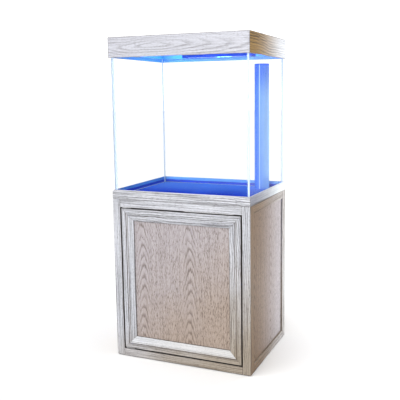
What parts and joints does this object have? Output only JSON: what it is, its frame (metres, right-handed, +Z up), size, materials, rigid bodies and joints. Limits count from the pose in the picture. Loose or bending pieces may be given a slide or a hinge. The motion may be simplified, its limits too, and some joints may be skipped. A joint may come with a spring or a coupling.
{
  "type": "aquarium on stand",
  "caption": "Rimless glass aquarium on a frame-and-panel oak cabinet with a hinged door, a sump below, an overflow tube and a lift-off hood with a blue light.",
  "frame": {"origin": "middle of the footprint, on the floor", "axes": "+Z up, door faces -Y, +X to the right seen from the front"},
  "size_m": [0.62, 0.475, 1.366],
  "materials": {
    "oak": "whitewashed oak veneer, satin lacquer",
    "oak_panel": "whitewashed oak veneer, warmer flat-sawn figure, satin lacquer",
    "hardboard": "brown hardboard, smooth face",
    "plywood": "birch plywood, unfinished",
    "glass": "clear low-iron float glass, polished edges",
    "blue_glass": "glass floor with a deep blue back coat",
    "silicone": "clear silicone sealant",
    "foam_mat": "dark blue closed-cell foam",
    "blue_acrylic": "translucent blue acrylic tube",
    "pipe_plastic": "grey pressure pipe",
    "fitting_plastic": "dark grey moulded fittings",
    "clear_acrylic": "clear cast acrylic sheet",
    "sponge": "blue open-cell filter sponge",
    "bio_ceramic": "porous sintered filter blocks",
    "pump_plastic": "black moulded pump case",
    "impeller_plastic": "pale moulded rotor",
    "shaft_ceramic": "polished ceramic shaft",
    "steel": "brushed stainless steel",
    "black_plastic": "black moulded plastic",
    "light_aluminium": "dark blue anodised extrusion",
    "lens": "frosted diffuser over blue and white LEDs"
  },
  "bodies": {
    "cabinet": {"post_front_left": "oak", "post_front_right": "oak", "post_back_left": "oak", "post_back_right": "oak", "rail_front_top": "oak", "rail_front_bottom": "oak", "rails_left": "oak", "rails_right": "oak", "rails_back": "oak", "side_panel_left": "oak_panel", "side_panel_right": "oak_panel", "back_panel": "hardboard", "base_panel": "plywood", "top_panel": "plywood", "rim_front": "oak", "rim_back": "oak", "rim_left": "oak", "rim_right": "oak", "floor_glides": "black_plastic", "pivot_plates": "steel", "door_catch": "black_plastic", "glass_front": "glass", "glass_back": "glass", "glass_left": "glass", "glass_right": "glass", "glass_bottom": "blue_glass", "silicone_seams": "silicone", "base_mat": "foam_mat", "overflow_tube": "blue_acrylic", "drain_standpipe": "pipe_plastic", "return_pipe": "pipe_plastic", "bulkhead_fittings": "fitting_plastic", "bulkhead_nuts": "fitting_plastic", "sump_panels": "clear_acrylic", "filter_tray": "black_plastic", "filter_sponge": "sponge", "bio_media": "bio_ceramic", "drain_pipe": "pipe_plastic", "return_line": "pipe_plastic", "pump_housing": "pump_plastic", "impeller_shaft": "shaft_ceramic"},
    "door": {"door_stile_left": "oak", "door_stile_right": "oak", "door_rail_top": "oak", "door_rail_bottom": "oak", "door_panel": "oak_panel", "pivot_pins": "steel", "strike_plate": "steel"},
    "hood": {"hood_front": "oak", "hood_back": "oak", "hood_left": "oak", "hood_right": "oak", "hood_top": "oak", "flap_hinges_fixed": "steel", "light_housing": "light_aluminium", "light_lens": "lens", "light_brackets": "steel"},
    "flap": {"hood_flap": "oak", "flap_hinges_moving": "steel"},
    "impeller": {"impeller": "impeller_plastic"}
  },
  "joints": [
    {"name": "door_hinge", "type": "hinge", "parent": "cabinet", "child": "door", "pos_m": [-0.2575, -0.2265, 0.35], "axis": [0, 0, -1], "range_deg": [0, 110]},
    {"name": "hood_lift", "type": "slide", "parent": "cabinet", "child": "hood", "axis": [0, 0, 1], "range_m": [0, 0.15]},
    {"name": "flap_hinge", "type": "hinge", "parent": "hood", "child": "flap", "pos_m": [0, 0.04, 1.363], "axis": [-1, 0, 0], "range_deg": [0, 100]},
    {"name": "impeller_spin", "type": "hinge", "parent": "cabinet", "child": "impeller", "pos_m": [-0.15, 0.085, 0.078], "axis": [1, 0, 0], "continuous": true}
  ]
}
